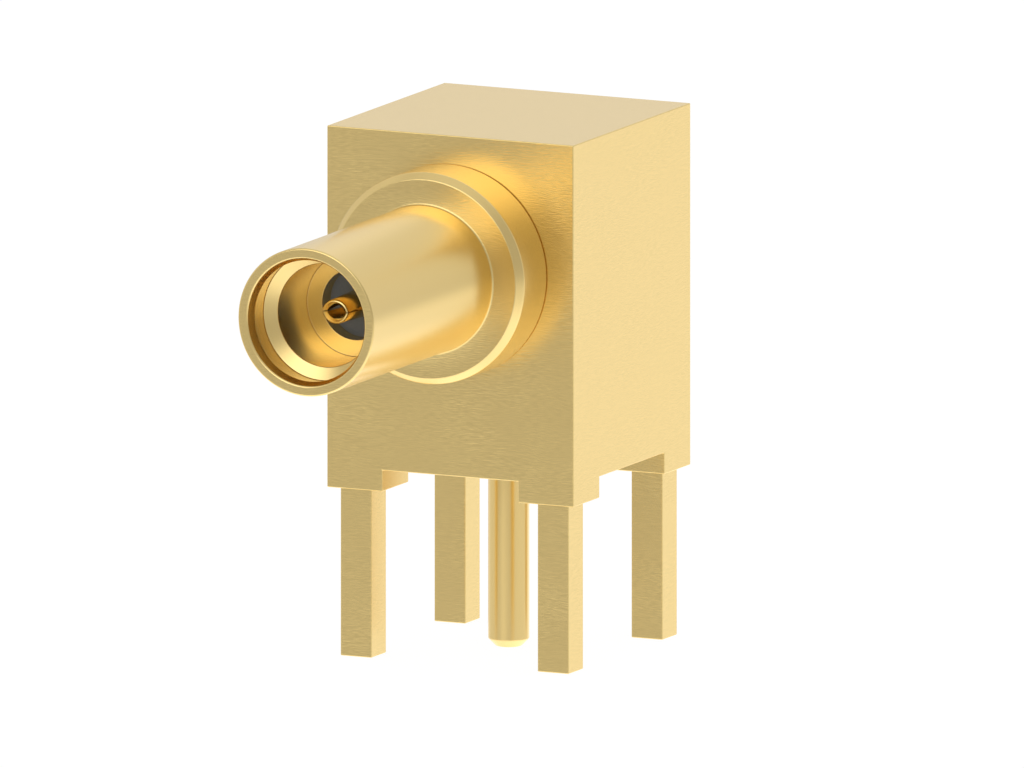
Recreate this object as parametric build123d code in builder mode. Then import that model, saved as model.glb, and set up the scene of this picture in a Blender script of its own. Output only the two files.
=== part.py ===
from build123d import *
import os

# Right-angle coaxial jack for a printed circuit board, gold plated, in millimetres.
# The origin is the centre of the centre pin, on the plane where the feet rest on the board.
# The barrel points towards -Y and the legs point down.

# Block, feet and legs. The block's square and the slots milled between its feet follow the legs' grid
leg_pitch = 5.08
leg_size = 0.80
leg_length = 4.00
leg_inset = 0.235
foot_margin = 0.39
foot_height = 0.50
body_height = 8.05
axis_below_top = 3.175
edge_break = 0.04

# Barrel, with depths measured from its mouth
barrel_reach = 7.825
throat_dia = 2.88
lead_in_depth = 0.24
throat_round = 0.06
groove_step = 0.075
groove_depth = 0.90
mouth_wall = 0.235
mouth_break = 0.03
cone_depth = 0.16
mating_bore_dia = 2.44
mating_bore_depth = 2.635
window_dia = 1.655
window_length = 0.47
collar_dia = 5.00
collar_thickness = 1.40
collar_chamfer = 0.15
collar_shoulder = 0.50
root_fillet = 0.05
shank_lead = 0.15
shank_end_wall = 0.325

# Socket contact and the dielectric round it
socket_bore_dia = 0.47
socket_bore_depth = 2.10
contact_wall = 0.115
contact_tip_depth = 1.58
finger_length = 1.80
finger_slot = 0.15
finger_tip_gap = 0.02
finger_rounding = 0.04
finger_land = 0.005
flange_step = 0.20
flange_length = 0.60
spigot_dia = 0.50
spigot_stand_out = 0.15
insulator_dia = 2.40
insulator_shoulder = 0.10

# Centre pin, its bush and the junction chamber
pin_dia = 0.96
pin_end_chamfer = 0.18
pin_shoulder = 0.17
pin_head_step = 0.15
pin_head_wall = 0.45
pin_head_chamfer = 0.10
bush_dia = 3.20
bush_shoulder = 0.15
bush_top_wall = 0.30
chamber_headroom = 0.50

# Rear cap
cap_dia = 3.60
cap_shoulder = 0.40
cap_thickness = 0.80
cap_break = 0.08

# Fits: a press fit has next to no gap, and the soldered junction a little more
press_gap = 0.01
solder_gap = 0.03

# Sizes that follow from what each piece holds or seats in
body_side = leg_pitch + leg_size + 2 * leg_inset
slot_width = leg_pitch - leg_size - 2 * foot_margin
foot_size = (body_side - slot_width) / 2
groove_dia = throat_dia + 2 * groove_step
barrel_dia = groove_dia + 2 * mouth_wall
shank_dia = collar_dia - 2 * collar_shoulder
passage_dia = insulator_dia - 2 * insulator_shoulder
chamber_dia = bush_dia - 2 * bush_shoulder
access_dia = cap_dia - 2 * cap_shoulder
shank_length = (body_side - chamber_dia) / 2 - shank_end_wall
contact_dia = socket_bore_dia + 2 * contact_wall
finger_lead_in = contact_wall - finger_rounding - finger_land
flange_dia = contact_dia + 2 * flange_step
pin_stem_dia = pin_dia + 2 * pin_shoulder
pin_head_dia = pin_stem_dia + 2 * pin_head_step

# Heights above the board, and places along the mating axis
axis_height = foot_height + body_height - axis_below_top
bush_top = axis_height - shank_dia / 2 - bush_top_wall
pin_head_top = axis_height + spigot_dia / 2 + pin_head_wall
chamber_roof = pin_head_top + chamber_headroom
front_y = -body_side / 2
rear_y = body_side / 2
mouth_y = front_y - barrel_reach
collar_start = barrel_reach - collar_thickness
barrel_end = barrel_reach + shank_length
groove_start = lead_in_depth + groove_step
cone_end = groove_depth + cone_depth
window_end = mating_bore_depth + window_length
finger_root = contact_tip_depth + finger_length
socket_bottom = contact_tip_depth + socket_bore_depth
flange_start = barrel_end - flange_length
pin_depth = barrel_reach + body_side / 2
rod_end = pin_depth - pin_head_dia / 2 - solder_gap
spigot_end = pin_depth + pin_head_dia / 2 + spigot_stand_out

# Turned pieces on the mating axis are drawn as depth from the mouth against radius
mating_axis = Axis((0, mouth_y, axis_height), (0, 1, 0))
turning_plane = Plane(origin=(0, mouth_y, axis_height), x_dir=(0, 1, 0), z_dir=(1, 0, 0))
front_face = Plane(origin=(0, front_y, axis_height), x_dir=(1, 0, 0), z_dir=(0, -1, 0))
rear_face = Plane(origin=(0, rear_y, axis_height), x_dir=(-1, 0, 0), z_dir=(0, 1, 0))
underside = Plane(origin=(0, 0, foot_height), x_dir=(1, 0, 0), z_dir=(0, 0, -1))


def circles(part, diameter, axis=Axis.Y):
    """Circular edges of one diameter, in order along an axis."""
    edges = part.edges().filter_by(GeomType.CIRCLE)
    same_size = [edge for edge in edges if abs(edge.radius - diameter / 2) < 1e-4]
    return ShapeList(same_size).sort_by(axis)


# Housing: block, four corner feet and four square legs, machined from one piece of brass
with BuildPart() as housing:
    with BuildSketch(Plane.XY.offset(foot_height)):
        Rectangle(body_side, body_side)
    extrude(amount=body_height)

    with BuildSketch(Plane.XY):
        with GridLocations(body_side - foot_size, body_side - foot_size, 2, 2):
            Rectangle(foot_size, foot_size)
    extrude(amount=foot_height)

    upright_edges = housing.edges().filter_by(Axis.Z).group_by(SortBy.LENGTH)[-1]
    top_edges = housing.faces().sort_by(Axis.Z)[-1].edges()
    foot_edges = housing.faces().group_by(Axis.Z)[0].edges()
    chamfer(upright_edges + top_edges + foot_edges, edge_break)

    with BuildSketch(Plane.XY):
        with GridLocations(leg_pitch, leg_pitch, 2, 2):
            Rectangle(leg_size, leg_size)
    extrude(amount=-leg_length)
    tip_edges = housing.faces().group_by(Axis.Z)[0].edges()
    leg_edges = housing.edges().filter_by(Axis.Z).group_by(Axis.Z)[0]
    chamfer(tip_edges + leg_edges, edge_break)

    # Front bore for the barrel's shank, with a narrower passage behind its shoulder
    with Locations(front_face):
        CounterBoreHole(passage_dia / 2, shank_dia / 2 + press_gap, shank_length, body_side / 2)
    # Rear bore, through which the junction is soldered, with the seat of the cap
    with Locations(rear_face):
        CounterBoreHole(access_dia / 2, cap_dia / 2 + press_gap, cap_thickness, body_side / 2)
    # Bore from below for the bush and the pin, up to the junction chamber's roof
    with Locations(underside):
        CounterBoreHole(
            chamber_dia / 2,
            bush_dia / 2 + press_gap,
            bush_top - foot_height,
            chamber_roof - foot_height,
        )

# Barrel: turned from brass bar, pressed into the block until its collar meets the front face. Its
# mouth leads in to a rounded throat, with a groove behind it that the plug's sprung ring snaps into
with BuildPart() as barrel:
    with BuildSketch(turning_plane):
        with BuildLine():
            Polyline(
                (0, groove_dia / 2),
                (0, barrel_dia / 2),
                (collar_start, barrel_dia / 2),
                (collar_start, collar_dia / 2),
                (barrel_reach, collar_dia / 2),
                (barrel_reach, shank_dia / 2),
                (barrel_end, shank_dia / 2),
                (barrel_end, insulator_dia / 2 + press_gap),
                (window_end, insulator_dia / 2 + press_gap),
                (window_end, window_dia / 2),
                (mating_bore_depth, window_dia / 2),
                (mating_bore_depth, mating_bore_dia / 2),
                (cone_end, mating_bore_dia / 2),
                (groove_depth, groove_dia / 2),
                (groove_start, groove_dia / 2),
                (lead_in_depth, throat_dia / 2),
                close=True,
            )
        make_face()
    revolve(axis=mating_axis)

    chamfer(circles(barrel, barrel_dia).first, mouth_break)
    chamfer(circles(barrel, groove_dia).first, mouth_break)
    fillet(circles(barrel, throat_dia), throat_round)
    chamfer(circles(barrel, collar_dia).first, collar_chamfer)
    chamfer(circles(barrel, shank_dia).last, shank_lead)
    fillet(circles(barrel, barrel_dia).last, root_fillet)

# Front insulator: a turned sleeve, trapped between the barrel's window lip and the block's shoulder
with BuildPart() as front_insulator:
    with BuildSketch(turning_plane):
        with BuildLine():
            Polyline(
                (window_end, contact_dia / 2 + press_gap),
                (window_end, insulator_dia / 2),
                (barrel_end, insulator_dia / 2),
                (barrel_end, flange_dia / 2 + press_gap),
                (flange_start, flange_dia / 2 + press_gap),
                (flange_start, contact_dia / 2 + press_gap),
                close=True,
            )
        make_face()
    revolve(axis=mating_axis)

# Socket contact: a turned rod, drilled and slotted at its front, with its two fingers bent
# until their tips nearly meet, so that they grip a pin of the plug
with BuildPart() as socket_contact:
    with BuildSketch(turning_plane):
        with BuildLine():
            Polyline(
                (finger_root, socket_bore_dia / 2),
                (finger_root, contact_dia / 2),
                (flange_start, contact_dia / 2),
                (flange_start, flange_dia / 2),
                (barrel_end, flange_dia / 2),
                (barrel_end, contact_dia / 2),
                (rod_end, contact_dia / 2),
                (rod_end, spigot_dia / 2),
                (spigot_end, spigot_dia / 2),
                (spigot_end, 0),
                (socket_bottom, 0),
                (socket_bottom, socket_bore_dia / 2),
                close=True,
            )
        make_face()
    revolve(axis=mating_axis)

    # Each finger keeps the slotted tube's section while it leans towards the axis
    root_plane = Plane(
        origin=(0, mouth_y + finger_root, axis_height), x_dir=(1, 0, 0), z_dir=(0, -1, 0)
    )
    finger_lean = (finger_slot - finger_tip_gap) / 2
    for side in (1, -1):
        finger_path = Vector(0, -finger_length, -side * finger_lean)
        with BuildSketch(root_plane):
            Circle(contact_dia / 2)
            Circle(socket_bore_dia / 2, mode=Mode.SUBTRACT)
            with Locations((0, side * (finger_slot + contact_dia) / 2)):
                Rectangle(2 * contact_dia, contact_dia, mode=Mode.INTERSECT)
        extrude(amount=finger_path.length, dir=finger_path)

    tip_arcs = circles(socket_contact, contact_dia).group_by(Axis.Y)[0]
    chamfer(tip_arcs, finger_rounding)
    bore_arcs = circles(socket_contact, socket_bore_dia).group_by(Axis.Y)[0]
    chamfer(bore_arcs, finger_lead_in)

# Pin insulator: a plain bush, pressed in from below until it stops at the chamber's shoulder
with BuildPart() as pin_insulator:
    with BuildSketch(Plane.XY.offset(foot_height)):
        Circle(bush_dia / 2)
        Circle(pin_stem_dia / 2 + press_gap, mode=Mode.SUBTRACT)
    extrude(amount=bush_top - foot_height)

# Tail pin: turned in three steps. The free end goes through the board, level with the legs, the stem
# is pressed into the bush, and the head rests on the bush and is cross-drilled for the spigot
with BuildPart() as tail_pin:
    with BuildSketch(Plane.XY.offset(-leg_length)):
        Circle(pin_dia / 2)
    extrude(amount=leg_length + foot_height)
    with BuildSketch(Plane.XY.offset(foot_height)):
        Circle(pin_stem_dia / 2)
    extrude(amount=bush_top - foot_height)
    with BuildSketch(Plane.XY.offset(bush_top)):
        Circle(pin_head_dia / 2)
    extrude(amount=pin_head_top - bush_top)
    chamfer(circles(tail_pin, pin_dia, Axis.Z).first, pin_end_chamfer)
    chamfer(circles(tail_pin, pin_head_dia, Axis.Z).last, pin_head_chamfer)
    with Locations(Plane(origin=(0, 0, axis_height), z_dir=(0, -1, 0))):
        Hole(spigot_dia / 2 + press_gap)

# Rear cap: a pressed disc that closes the rear bore flush with the back of the block
with BuildPart() as rear_cap:
    with BuildSketch(rear_face):
        Circle(cap_dia / 2)
    extrude(amount=-cap_thickness)
    chamfer(circles(rear_cap, cap_dia), cap_break)

housing.part.label = "housing"
barrel.part.label = "barrel"
front_insulator.part.label = "front_insulator"
socket_contact.part.label = "socket_contact"
pin_insulator.part.label = "pin_insulator"
tail_pin.part.label = "tail_pin"
rear_cap.part.label = "rear_cap"

os.makedirs("parts", exist_ok=True)
for piece in (housing, barrel, front_insulator, socket_contact, pin_insulator, tail_pin, rear_cap):
    export_step(piece.part, f"parts/{piece.part.label}.step")
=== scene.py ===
import math

import bpy
from mathutils import Matrix, Vector


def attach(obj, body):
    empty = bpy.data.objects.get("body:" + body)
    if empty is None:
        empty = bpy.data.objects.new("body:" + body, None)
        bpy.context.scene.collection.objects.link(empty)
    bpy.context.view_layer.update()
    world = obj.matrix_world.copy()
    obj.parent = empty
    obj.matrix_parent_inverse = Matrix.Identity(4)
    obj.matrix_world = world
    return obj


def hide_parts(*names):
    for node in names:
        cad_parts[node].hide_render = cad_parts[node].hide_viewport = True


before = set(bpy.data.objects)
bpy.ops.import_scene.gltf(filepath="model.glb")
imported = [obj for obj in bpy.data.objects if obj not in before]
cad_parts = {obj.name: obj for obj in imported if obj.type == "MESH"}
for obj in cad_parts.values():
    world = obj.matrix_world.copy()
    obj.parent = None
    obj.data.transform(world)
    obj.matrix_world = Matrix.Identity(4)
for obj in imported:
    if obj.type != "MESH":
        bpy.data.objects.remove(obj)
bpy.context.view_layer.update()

# Camera. The photograph is a view with no perspective, from 25.5 degrees right of the barrel's
# axis and 10 degrees above the board.
MM = 0.001
view_right_turn = math.radians(25.46)
view_rise = math.radians(10.0)
frame_width = 23.835 * MM
aim_point = Vector((0, -3.175, 5.375)) * MM
aim_right = 1.4394 * MM
aim_up = -2.6566 * MM
camera_distance = 150 * MM
camera_near = 1 * MM
camera_far = 2.0

right = Vector((math.cos(view_right_turn), math.sin(view_right_turn), 0))
up = Vector((
    -math.sin(view_right_turn) * math.sin(view_rise),
    math.cos(view_right_turn) * math.sin(view_rise),
    math.cos(view_rise),
))
towards_camera = right.cross(up)
camera_place = aim_point + aim_right * right + aim_up * up + camera_distance * towards_camera
camera_turn = Matrix((right, up, towards_camera)).transposed().to_4x4()
camera_data = bpy.data.cameras.new("camera")
camera_data.type = "ORTHO"
camera_data.ortho_scale = frame_width
camera_data.clip_start = camera_near
camera_data.clip_end = camera_far
camera = bpy.data.objects.new("camera", camera_data)
camera.matrix_world = Matrix.Translation(camera_place) @ camera_turn
bpy.context.scene.collection.objects.link(camera)
bpy.context.scene.camera = camera
bpy.context.scene.view_settings.view_transform = "Standard"


def linear(hex_colour):
    """An sRGB hex colour as linear red, green, blue and an alpha of 1."""
    channels = [int(hex_colour[i:i + 2], 16) / 255 for i in (1, 3, 5)]
    return [c / 12.92 if c <= 0.04045 else ((c + 0.055) / 1.055) ** 2.4 for c in channels] + [1]


def add(tree, kind, inputs=None, **settings):
    """Adds a node with its settings. An input is a value, or the output socket that feeds it."""
    node = tree.nodes.new(kind)
    for name, value in settings.items():
        setattr(node, name, value)
    for name, value in (inputs or {}).items():
        if isinstance(value, bpy.types.NodeSocket):
            tree.links.new(value, node.inputs[name])
        else:
            node.inputs[name].default_value = value
    return node


def empty_material(name):
    """A material with no nodes yet, and its tree."""
    material = bpy.data.materials.new(name)
    material.use_nodes = True
    material.node_tree.nodes.clear()
    return material, material.node_tree


# Studio. A white table and a white background. The table glows a little where it is looked at, so
# that it stays white under the object. The metal sees neither: it mirrors the light tent.
floor_height = -4.0 * MM
floor_half_side = 1.0
floor_glow = 1.02
floor_glow_share = 0.95

bpy.ops.object.select_all(action="DESELECT")
bpy.ops.mesh.primitive_plane_add(size=2 * floor_half_side, location=(0, 0, floor_height))
floor = bpy.context.object
floor.name = "floor"
floor_paint, tree = empty_material("white_table")
light_path = add(tree, "ShaderNodeLightPath")
camera_or_glossy = add(tree, "ShaderNodeMath", {
    0: light_path.outputs["Is Camera Ray"], 1: light_path.outputs["Is Glossy Ray"],
}, operation="ADD")
seen = add(tree, "ShaderNodeMath", {
    0: camera_or_glossy.outputs[0], 1: light_path.outputs["Is Transmission Ray"],
}, operation="ADD")
share = add(tree, "ShaderNodeMath", {
    0: seen.outputs[0], 1: floor_glow_share,
}, operation="MULTIPLY")
white_paint = add(tree, "ShaderNodeBsdfDiffuse", {"Color": linear("#F7F7F7")})
white_glow = add(tree, "ShaderNodeEmission", {
    "Color": linear("#FFFFFF"), "Strength": floor_glow,
})
mixed = add(tree, "ShaderNodeMixShader", {
    0: share.outputs[0], 1: white_paint.outputs[0], 2: white_glow.outputs[0],
})
add(tree, "ShaderNodeOutputMaterial", {"Surface": mixed.outputs[0]})
floor.data.materials.append(floor_paint)
floor.visible_glossy = False

world = bpy.data.worlds.new("white_room")
world.use_nodes = True
world.node_tree.nodes.clear()
tree = world.node_tree
background = add(tree, "ShaderNodeBackground", {"Color": linear("#FFFFFF"), "Strength": 1.0})
add(tree, "ShaderNodeOutputWorld", {"Surface": background.outputs[0]})
bpy.context.scene.world = world

# Light tent. The metal mirrors a tent of pale cloth with lighter patches, of which the brightest,
# high in front, is the panel that the key lamp shines through.
tent_radius = 0.4
wall_glow = 0.51
panel_half_angle = math.radians(34)
key_distance = 0.25
key_side = 0.12
key_power = 0.018

bpy.ops.object.select_all(action="DESELECT")
bpy.ops.mesh.primitive_uv_sphere_add(segments=64, ring_count=32, radius=tent_radius)
tent = bpy.context.object
tent.name = "light_tent"
tent_cloth, tree = empty_material("tent_cloth")
place = add(tree, "ShaderNodeTexCoord")
direction = add(tree, "ShaderNodeVectorMath", {0: place.outputs["Object"]}, operation="NORMALIZE")


def compass(turn, rise=0):
    """A direction, as degrees clockwise from the back of the object and degrees up."""
    turn, rise = math.radians(turn), math.radians(rise)
    level = math.cos(rise)
    return Vector((math.sin(turn) * level, math.cos(turn) * level, math.sin(rise)))


def fade(towards, start, end):
    """From 0 to 1, as the part of the direction that points towards a place goes from start to
    end."""
    along = add(tree, "ShaderNodeVectorMath", {
        0: direction.outputs[0], 1: towards,
    }, operation="DOT_PRODUCT")
    step = add(tree, "ShaderNodeMapRange", {
        "Value": along.outputs["Value"], "From Min": start, "From Max": end,
    }, interpolation_type="SMOOTHSTEP")
    return step.outputs[0]


def times(first, second):
    """The product of two values or outputs."""
    return add(tree, "ShaderNodeMath", {0: first, 1: second}, operation="MULTIPLY").outputs[0]


low_left = times(fade(compass(-65, -24), 0.12, 0.36), 0.22)
high_at_the_back = times(fade(compass(20, 28), 0.49, 1.0), 0.28)
sweep_below = times(fade(compass(0, -90), 0.24, 0.63), 0.46)
sweep_rising_at_the_back = times(
    times(fade(compass(0, -90), 0.0, 0.19), fade(compass(38), -0.79, 0.5)), 0.41,
)
panel = times(fade(compass(-170, 33), math.cos(panel_half_angle), 1.0), 1.25)
low_in_front = times(fade(compass(178, -36), 0.84, 1.0), 0.26)
top = times(fade(compass(0, 90), 0.54, 0.99), 0.235)

cloth_glow = wall_glow
for patch in (
    low_left, high_at_the_back, sweep_below, sweep_rising_at_the_back, panel, low_in_front, top,
):
    summed = add(tree, "ShaderNodeMath", {0: cloth_glow, 1: patch}, operation="ADD")
    cloth_glow = summed.outputs[0]
glow = add(tree, "ShaderNodeEmission", {"Color": linear("#FFFFFF"), "Strength": cloth_glow})
add(tree, "ShaderNodeOutputMaterial", {"Surface": glow.outputs[0]})
tent.data.materials.append(tent_cloth)
tent_cloth.cycles.emission_sampling = "NONE"
tent.visible_camera = False
tent.visible_diffuse = False
tent.visible_transmission = False
tent.visible_shadow = False

key_data = bpy.data.lights.new("key_lamp", "AREA")
key_data.shape = "SQUARE"
key_data.size = key_side
key_data.energy = key_power
key_lamp = bpy.data.objects.new("key_lamp", key_data)
bpy.context.scene.collection.objects.link(key_lamp)
key_place = compass(-172, 38) * key_distance
key_lamp.location = key_place
key_lamp.rotation_euler = (key_place - aim_point).to_track_quat("Z", "Y").to_euler()
key_lamp.visible_glossy = False

# Housing. The block, its four feet and four legs are one piece of brass, milled, bored from the
# front, the back and below, then gold plated. Its edges are barely broken, and its faces keep the
# fine wavy lines of the cut, which run level all round. Its sizes are in mm.
block_half_side = 3.175
block_bottom = 0.5
block_top = 8.55
foot_inner_side = 1.75
leg_inner_side = 2.14
leg_outer_side = 2.94
leg_end = -4.0
feet = (block_bottom, 0, foot_inner_side, block_half_side)
legs = (0, leg_end, leg_inner_side, leg_outer_side)
edge_break = 0.025
bore_height = 5.375
bore_sides = 96
bores = [
    (2.01, (0, -3.7, bore_height), (0, -1.775, bore_height)),  # seat of the barrel's shank
    (1.10, (0, -2.0, bore_height), (0, 0, bore_height)),  # passage behind it
    (1.81, (0, 3.7, bore_height), (0, 2.375, bore_height)),  # seat of the rear cap
    (1.40, (0, 2.6, bore_height), (0, 0, bore_height)),  # access to the joint
    (1.61, (0, 0, 0), (0, 0, 3.075)),  # seat of the pin's bush
    (1.45, (0, 0, 2.8), (0, 0, 6.575)),  # chamber of the joint
]
same_point = 0.00001 * MM
cut_point = 0.0001 * MM
gold = "#F2D58F"
line_dark = "#ECD08B"
line_light = "#F7DA93"
line_length = 0.19 * MM
line_width = 0.022 * MM
line_wander = 0.3 * MM


def round_edges(piece, width, least_angle):
    """Rounds the edges of the active piece that are sharper than an angle in degrees, by a width
    in mm."""
    bevel = piece.modifiers.new("edge_round", "BEVEL")
    bevel.width = width * MM
    bevel.segments = 3
    bevel.limit_method = "ANGLE"
    bevel.angle_limit = math.radians(least_angle)
    bevel.harden_normals = True
    bpy.ops.object.modifier_apply(modifier="edge_round")


def merge_points(distance):
    """Merges the points of the active piece that lie closer together than a distance."""
    bpy.ops.object.mode_set(mode="EDIT")
    bpy.ops.mesh.select_all(action="SELECT")
    bpy.ops.mesh.remove_doubles(threshold=distance)
    bpy.ops.object.mode_set(mode="OBJECT")


bpy.ops.object.select_all(action="DESELECT")
bpy.ops.mesh.primitive_cube_add(size=1, location=(0, 0, (block_bottom + block_top) / 2 * MM))
housing = bpy.context.object
housing.name = "housing_milled"
housing.scale = Vector((2 * block_half_side, 2 * block_half_side, block_top - block_bottom)) * MM
bpy.ops.object.transform_apply(location=True, rotation=True, scale=True)
bpy.ops.object.mode_set(mode="EDIT")
bpy.ops.mesh.select_mode(type="FACE")
for cut in (foot_inner_side, leg_inner_side, leg_outer_side):
    for level in (-cut, cut):
        for across in (Vector((1, 0, 0)), Vector((0, 1, 0))):
            bpy.ops.mesh.select_all(action="SELECT")
            bpy.ops.mesh.bisect(
                plane_co=across * level * MM, plane_no=across, threshold=same_point,
            )
for height, low_end, inner, outer in (feet, legs):
    bpy.ops.mesh.select_all(action="DESELECT")
    bpy.ops.object.mode_set(mode="OBJECT")
    for face in housing.data.polygons:
        x, y, z = face.center / MM
        at_height = abs(z - height) < 0.01 and face.normal.z < -0.9
        face.select = at_height and inner < abs(x) < outer and inner < abs(y) < outer
    bpy.ops.object.mode_set(mode="EDIT")
    drop = (0, 0, (low_end - height) * MM)
    bpy.ops.mesh.extrude_region_move(TRANSFORM_OT_translate={"value": drop})
bpy.ops.mesh.select_all(action="SELECT")
bpy.ops.mesh.dissolve_limited(angle_limit=math.radians(1))
bpy.ops.object.mode_set(mode="OBJECT")
bpy.ops.object.shade_smooth_by_angle(angle=math.radians(35))
round_edges(housing, edge_break, 30)
for radius, start, end in bores:
    span = Vector(end) - Vector(start)
    bpy.ops.object.select_all(action="DESELECT")
    bpy.ops.mesh.primitive_cylinder_add(
        vertices=bore_sides, radius=radius * MM, depth=span.length * MM,
        location=(Vector(start) + span / 2) * MM,
        rotation=span.to_track_quat("Z", "Y").to_euler(),
    )
    cutter = bpy.context.object
    drill = housing.modifiers.new("bore", "BOOLEAN")
    drill.operation = "DIFFERENCE"
    drill.object = cutter
    bpy.context.view_layer.objects.active = housing
    bpy.ops.object.modifier_apply(modifier="bore")
    bpy.data.objects.remove(cutter)
merge_points(cut_point)
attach(housing, "root")
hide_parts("housing")


def gold_plate(name, roughness, line_depth, turned_piece, spread=0.0):
    """Gold plate over machined brass: warm, half mirror, with fine wavy level lines left by the
    cutter, which are faint on a block's other sides. A turned piece has them only on its rim and
    its collar. The spread is how far turning marks draw a reflection out along the piece."""
    material, tree = empty_material(name)
    coordinates = add(tree, "ShaderNodeTexCoord")
    wander = add(tree, "ShaderNodeTexNoise", {
        "Vector": coordinates.outputs["Object"], "Scale": 0.7 / MM, "Detail": 1.0,
    })
    centred = add(tree, "ShaderNodeVectorMath", {
        0: wander.outputs["Color"], 1: (0.5, 0.5, 0.5),
    }, operation="SUBTRACT")
    bent = add(tree, "ShaderNodeVectorMath", {
        0: centred.outputs[0], 1: (line_wander,) * 3, 2: coordinates.outputs["Object"],
    }, operation="MULTIPLY_ADD")
    facing = add(tree, "ShaderNodeSeparateXYZ", {0: coordinates.outputs["Normal"]})
    upward = add(tree, "ShaderNodeMath", {0: facing.outputs["Z"]}, operation="ABSOLUTE")
    on_top = add(tree, "ShaderNodeMath", {0: upward.outputs[0], 1: 0.8}, operation="GREATER_THAN")
    spacing = add(tree, "ShaderNodeMix", {
        "Factor": on_top.outputs[0], 4: (1 / line_length, 1 / line_length, 1 / line_width),
        5: (1 / line_length, 1 / line_width, 1 / line_length),
    }, data_type="VECTOR")
    stretched = add(tree, "ShaderNodeVectorMath", {
        0: bent.outputs[0], 1: spacing.outputs[1],
    }, operation="MULTIPLY")
    lines = add(tree, "ShaderNodeTexNoise", {
        "Vector": stretched.outputs[0], "Scale": 1.0, "Detail": 0.5,
    })

    # where the lines show: in patches, and mostly on the faces across the barrel's axis
    patches = add(tree, "ShaderNodeMapRange", {
        "Value": wander.outputs["Fac"], "From Min": 0.38, "From Max": 0.62,
        "To Min": 0.5, "To Max": 1.0,
    })
    endward = add(tree, "ShaderNodeMath", {0: facing.outputs["Y"]}, operation="ABSOLUTE")
    side_share = add(tree, "ShaderNodeMapRange", {
        "Value": endward.outputs[0], "From Min": 0.85, "From Max": 0.95,
        "To Min": 0.0 if turned_piece else 0.6, "To Max": 1.0,
    })
    share = add(tree, "ShaderNodeMath", {
        0: patches.outputs[0], 1: side_share.outputs[0],
    }, operation="MULTIPLY")
    if turned_piece:
        # none between the rim and the collar, which is within 3 mm of the barrel's middle
        spot = add(tree, "ShaderNodeSeparateXYZ", {0: coordinates.outputs["Object"]})
        in_bore = add(tree, "ShaderNodeMath", {
            0: spot.outputs["Y"], 1: -7.8 * MM, 2: 3.0 * MM,
        }, operation="COMPARE")
        outside = add(tree, "ShaderNodeMath", {
            0: 1.0, 1: in_bore.outputs[0],
        }, operation="SUBTRACT")
        share = add(tree, "ShaderNodeMath", {
            0: share.outputs[0], 1: outside.outputs[0],
        }, operation="MULTIPLY")
    bump = add(tree, "ShaderNodeBump", {
        "Strength": share.outputs[0], "Distance": line_depth, "Height": lines.outputs["Fac"],
    })
    crest = add(tree, "ShaderNodeMapRange", {
        "Value": lines.outputs["Fac"], "From Min": 0.3, "From Max": 0.7,
    })
    line_shade = add(tree, "ShaderNodeMix", {
        "Factor": crest.outputs[0], 6: linear(line_dark), 7: linear(line_light),
    }, data_type="RGBA")
    shade = add(tree, "ShaderNodeMix", {
        "Factor": share.outputs[0] if line_depth else 0.0,
        6: linear(gold), 7: line_shade.outputs[2],
    }, data_type="RGBA")
    surface = add(tree, "ShaderNodeBsdfPrincipled", {
        "Base Color": shade.outputs[2], "Metallic": 1.0, "Roughness": roughness,
        "Anisotropic": spread, "Anisotropic Rotation": 0.25, "Normal": bump.outputs[0],
    })
    add(tree, "ShaderNodeOutputMaterial", {"Surface": surface.outputs[0]})
    return material


milled_gold = gold_plate("milled_gold_plate", 0.27, 0.0035 * MM, False)
housing.data.materials.append(milled_gold)

# Barrel. It is turned from brass bar with its collar, bored in steps from the mouth, gold plated,
# and pressed into the block until the collar meets the front face, where a shallow relief behind
# the collar's edge shows as a thin dark line.
mouth_y = -11.0 * MM
axis_height = bore_height * MM
mating_axis = ((0, mouth_y, axis_height), (0, 1, 0))
upright_axis = ((0, 0, 0), (0, 0, 1))
rear_axis = ((0, 2.375 * MM, axis_height), (0, 1, 0))
turned_sides = 160
turned_edge_angle = 23


def close_mesh():
    """Closes the open ends of the piece in edit mode, turns its faces outward and leaves edit
    mode."""
    bpy.ops.mesh.select_all(action="SELECT")
    bpy.ops.mesh.fill_holes(sides=0)
    bpy.ops.mesh.select_all(action="SELECT")
    bpy.ops.mesh.normals_make_consistent(inside=False)
    bpy.ops.object.mode_set(mode="OBJECT")


def turned(node, name, axis, stations, edge_round):
    """A turned piece: a ring is extruded and scaled from station to station along an axis, where a
    station is a place along the axis and a radius in mm. The last may close on the first."""
    origin, along = Vector(axis[0]), Vector(axis[1])
    across = Vector((1, 1, 1)) - along
    first_place, first_radius = stations[0]
    bpy.ops.object.select_all(action="DESELECT")
    bpy.ops.mesh.primitive_circle_add(
        vertices=turned_sides, radius=first_radius * MM,
        location=origin + along * first_place * MM, rotation=(math.radians(90) * along.y, 0, 0),
    )
    piece = bpy.context.object
    piece.name = name
    bpy.ops.object.transform_apply(location=True, rotation=True, scale=True)
    bpy.ops.object.mode_set(mode="EDIT")
    bpy.ops.mesh.select_all(action="SELECT")
    for (old_place, old_radius), (new_place, new_radius) in zip(stations, stations[1:]):
        bpy.ops.mesh.extrude_edges_move(
            TRANSFORM_OT_translate={"value": along * (new_place - old_place) * MM}
        )
        bpy.ops.transform.resize(
            value=along + across * (new_radius / old_radius),
            center_override=origin + along * new_place * MM,
        )
    bpy.ops.mesh.select_all(action="SELECT")
    bpy.ops.mesh.remove_doubles(threshold=same_point)
    close_mesh()
    bpy.ops.object.shade_smooth_by_angle(angle=math.radians(turned_edge_angle))
    if edge_round:
        round_edges(piece, edge_round, turned_edge_angle)
        merge_points(same_point)
    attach(piece, "root")
    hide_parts(node)
    return piece


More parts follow.
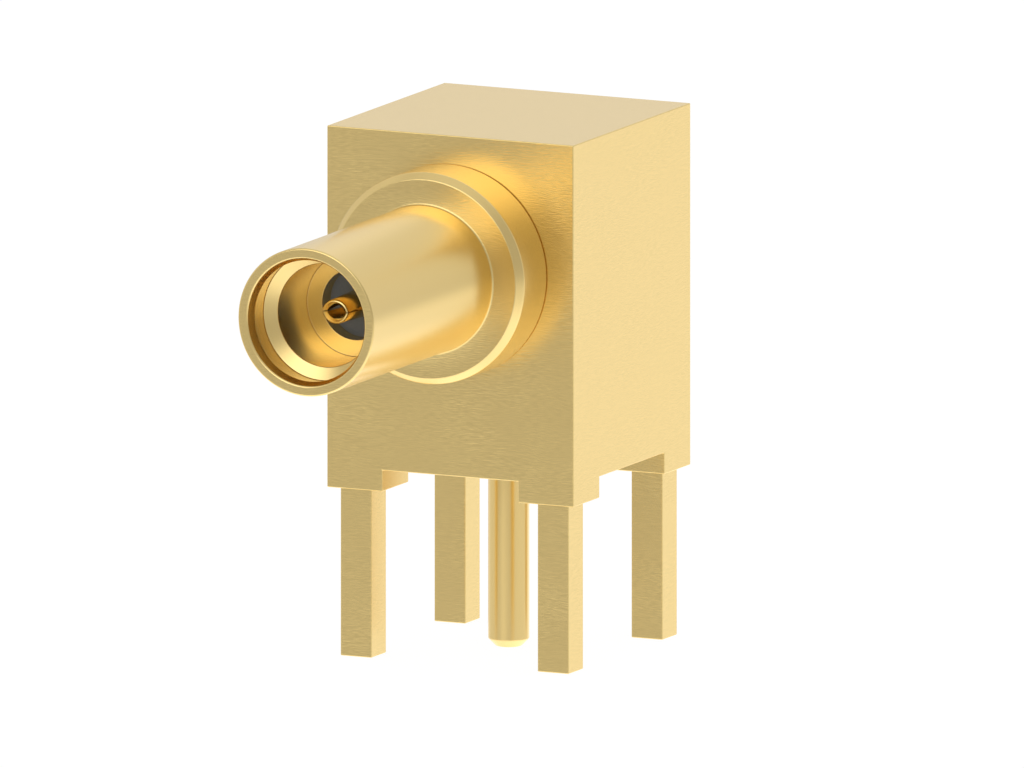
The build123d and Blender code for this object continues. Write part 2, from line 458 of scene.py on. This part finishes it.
barrel = turned("barrel", "barrel_turned", mating_axis, [
    # lip, outside and fillet at the collar
    (0, 1.533), (0, 1.72), (0.03, 1.75), (6.375, 1.75), (6.394, 1.754), (6.410, 1.765),
    (6.421, 1.781), (6.425, 1.80),
    # collar, with its chamfer in front and its relief behind
    (6.425, 2.35), (6.54, 2.465), (6.557, 2.482), (6.566, 2.4895), (6.578, 2.4965), (6.60, 2.50),
    (6.63, 2.50), (7.793, 2.50), (7.793, 2.455), (7.825, 2.455),
    # shank, then the insulator's bore and the window, from behind
    (7.825, 2.00), (9.075, 2.00), (9.225, 1.85), (9.225, 1.21), (3.105, 1.21), (3.105, 0.8275),
    # mating bore, cone, flared groove, throat and lead-in
    (2.635, 0.8275), (2.635, 1.22), (1.06, 1.22), (0.90, 1.516), (0.23, 1.430), (0.025, 1.506),
    (0, 1.533),
], 0.02)
barrel.data.materials.append(gold_plate("turned_gold_plate", 0.25, 0.003 * MM, True))

# Front insulator. A turned sleeve of dark dielectric, trapped between the lip inside the barrel
# and the shoulder in the block.
front_insulator = turned("front_insulator", "front_insulator_turned", mating_axis, [
    (3.105, 0.36), (3.105, 1.20), (9.225, 1.20), (9.225, 0.56), (8.625, 0.56), (8.625, 0.36),
    (3.105, 0.36),
], 0.02)
dielectric, tree = empty_material("turned_dielectric")
coordinates = add(tree, "ShaderNodeTexCoord")
grain = add(tree, "ShaderNodeTexNoise", {
    "Vector": coordinates.outputs["Object"], "Scale": 18 / MM, "Detail": 3.0,
})
shade = add(tree, "ShaderNodeMix", {
    "Factor": grain.outputs["Fac"], 6: linear("#74808F"), 7: linear("#848F9E"),
}, data_type="RGBA")
bump = add(tree, "ShaderNodeBump", {
    "Strength": 1.0, "Distance": 0.004 * MM, "Height": grain.outputs["Fac"],
})
surface = add(tree, "ShaderNodeBsdfPrincipled", {
    "Base Color": shade.outputs[2], "Roughness": 0.55, "Normal": bump.outputs[0],
})
add(tree, "ShaderNodeOutputMaterial", {"Surface": surface.outputs[0]})
front_insulator.data.materials.append(dielectric)

# Socket contact. A turned rod, drilled and slotted at its front, with its two fingers closed
# until their tips nearly meet. Its flange is held in the back of the insulator.
finger_root = 3.38
finger_tip = 1.58
finger_slot = 0.15
finger_lean = 0.065
on_axis = 0.0001
contact = turned("socket_contact", "socket_contact_turned", mating_axis, [
    (finger_root, 0.235), (finger_root, 0.35), (8.625, 0.35), (8.625, 0.55), (9.225, 0.55),
    (9.225, 0.35), (10.17, 0.35), (10.17, 0.25), (11.95, 0.25), (11.95, on_axis),
    (3.68, on_axis), (3.68, 0.235), (finger_root, 0.235),
], 0.01)
fingers = []
for side in (1, -1):
    finger = turned("socket_contact", "finger", mating_axis, [
        (1.583, 0.303), (finger_tip, 0.308), (1.584, 0.323), (1.593, 0.337), (1.607, 0.346),
        (1.622, 0.350), (finger_root, 0.350), (finger_root, 0.235), (1.650, 0.235),
        (1.583, 0.303),
    ], 0)
    bpy.ops.object.mode_set(mode="EDIT")
    bpy.ops.mesh.select_all(action="SELECT")
    bpy.ops.mesh.bisect(
        plane_co=(0, 0, axis_height + side * finger_slot / 2 * MM), plane_no=(0, 0, side),
        clear_inner=True, threshold=same_point,
    )
    close_mesh()
    for vertex in finger.data.vertices:
        depth = (vertex.co.y - mouth_y) / MM
        lean = finger_lean * (finger_root - depth) / (finger_root - finger_tip)
        vertex.co.z -= side * lean * MM
    bpy.ops.object.shade_smooth_by_angle(angle=math.radians(30))
    fingers.append(finger)
bpy.ops.object.select_all(action="DESELECT")
for finger in fingers:
    finger.select_set(True)
contact.select_set(True)
bpy.context.view_layer.objects.active = contact
bpy.ops.object.join()
contact.data.materials.append(gold_plate("contact_gold_plate", 0.20, 0.0, True))

# Pin insulator. A plain bush of the same dielectric, pressed in from below until it stops at the
# shoulder of the junction chamber.
pin_insulator = turned("pin_insulator", "pin_insulator_turned", upright_axis, [
    (0.5, 0.66), (0.5, 1.60), (3.075, 1.60), (3.075, 0.66), (0.5, 0.66),
], 0.03)
pin_insulator.data.materials.append(dielectric)

# Tail pin. Turned in three steps, gold plated, and pressed into the bush. Its free end has a
# broad chamfer that finds the hole in the board.
tail_pin = turned("tail_pin", "tail_pin_turned", upright_axis, [
    (-4.0, 0.30), (-3.82, 0.48), (0.5, 0.48), (0.5, 0.65), (3.075, 0.65), (3.075, 0.80),
    (5.975, 0.80), (6.075, 0.70),
], 0.02)
tail_pin.data.materials.append(gold_plate("turned_pin_gold", 0.3, 0.0, True, 0.82))

# Rear cap. A turned disc pressed into the back of the block, flush with it, which closes the hole
# that the joint inside is soldered through.
rear_cap = turned("rear_cap", "rear_cap_turned", rear_axis, [
    (0, 1.72), (0.08, 1.80), (0.72, 1.80), (0.80, 1.72),
], 0.01)
rear_cap.data.materials.append(milled_gold)
